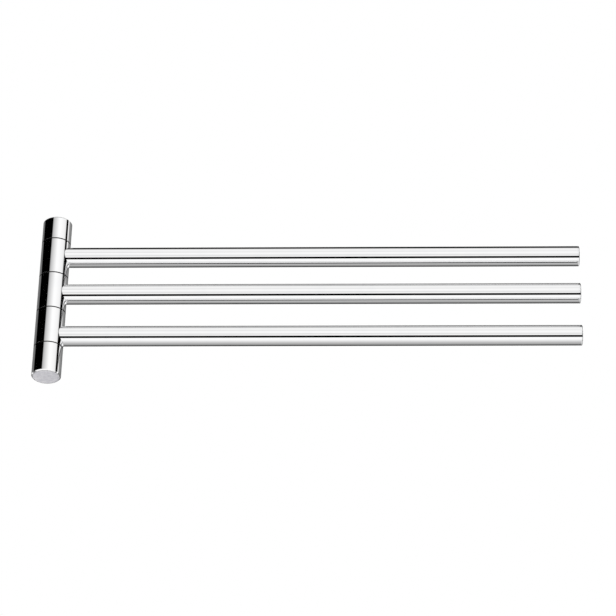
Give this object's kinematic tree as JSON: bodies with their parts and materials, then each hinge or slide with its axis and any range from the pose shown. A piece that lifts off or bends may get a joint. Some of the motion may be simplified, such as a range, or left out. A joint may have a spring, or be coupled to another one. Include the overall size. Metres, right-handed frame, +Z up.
{
  "type": "swing arm towel bar",
  "caption": "Wall mounted towel bar: round arms that each swivel on rings stacked in one slim upright column.",
  "frame": {"origin": "middle of the two wall screws, on the wall plane", "axes": "+X along the arms at rest, +Y into the wall, +Z up"},
  "size_m": [0.445, 0.032, 0.1464],
  "materials": {
    "chrome": "polished chrome plate",
    "steel": "plain stainless steel",
    "brass": "turned brass",
    "black_plastic": "black acetal",
    "white_plastic": "natural acetal"
  },
  "bodies": {
    "column": {"upper_end_piece": "chrome", "lower_end_piece": "chrome", "upper_cover_disc": "chrome", "lower_cover_disc": "chrome", "central_shaft": "steel", "upper_shaft_nut": "steel", "lower_shaft_nut": "steel", "disc_spring": "steel", "nut_washer": "steel", "upper_joint_washer": "black_plastic", "upper_middle_joint_washer": "black_plastic", "lower_middle_joint_washer": "black_plastic", "lower_joint_washer": "black_plastic", "upper_wall_post": "chrome", "lower_wall_post": "chrome", "upper_post_screw": "steel", "lower_post_screw": "steel", "upper_wall_bracket": "brass", "lower_wall_bracket": "brass", "upper_grub_screw": "steel", "lower_grub_screw": "steel"},
    "upper_arm": {"upper_ring": "chrome", "upper_ring_top_bush": "white_plastic", "upper_ring_bottom_bush": "white_plastic", "upper_arm_plug": "brass", "upper_arm_tube": "chrome", "upper_arm_cap": "chrome", "upper_arm_set_screw": "steel"},
    "middle_arm": {"middle_ring": "chrome", "middle_ring_top_bush": "white_plastic", "middle_ring_bottom_bush": "white_plastic", "middle_arm_plug": "brass", "middle_arm_tube": "chrome", "middle_arm_cap": "chrome", "middle_arm_set_screw": "steel"},
    "lower_arm": {"lower_ring": "chrome", "lower_ring_top_bush": "white_plastic", "lower_ring_bottom_bush": "white_plastic", "lower_arm_plug": "brass", "lower_arm_tube": "chrome", "lower_arm_cap": "chrome", "lower_arm_set_screw": "steel"}
  },
  "joints": [
    {"name": "upper_arm_swing", "type": "hinge", "parent": "column", "child": "upper_arm", "pos_m": [0, -0.02, 0.033], "axis": [0, 0, 1], "range_deg": [-180, 0]},
    {"name": "middle_arm_swing", "type": "hinge", "parent": "column", "child": "middle_arm", "pos_m": [0, -0.02, 0], "axis": [0, 0, 1], "range_deg": [-180, 0]},
    {"name": "lower_arm_swing", "type": "hinge", "parent": "column", "child": "lower_arm", "pos_m": [0, -0.02, -0.033], "axis": [0, 0, 1], "range_deg": [-180, 0]}
  ]
}
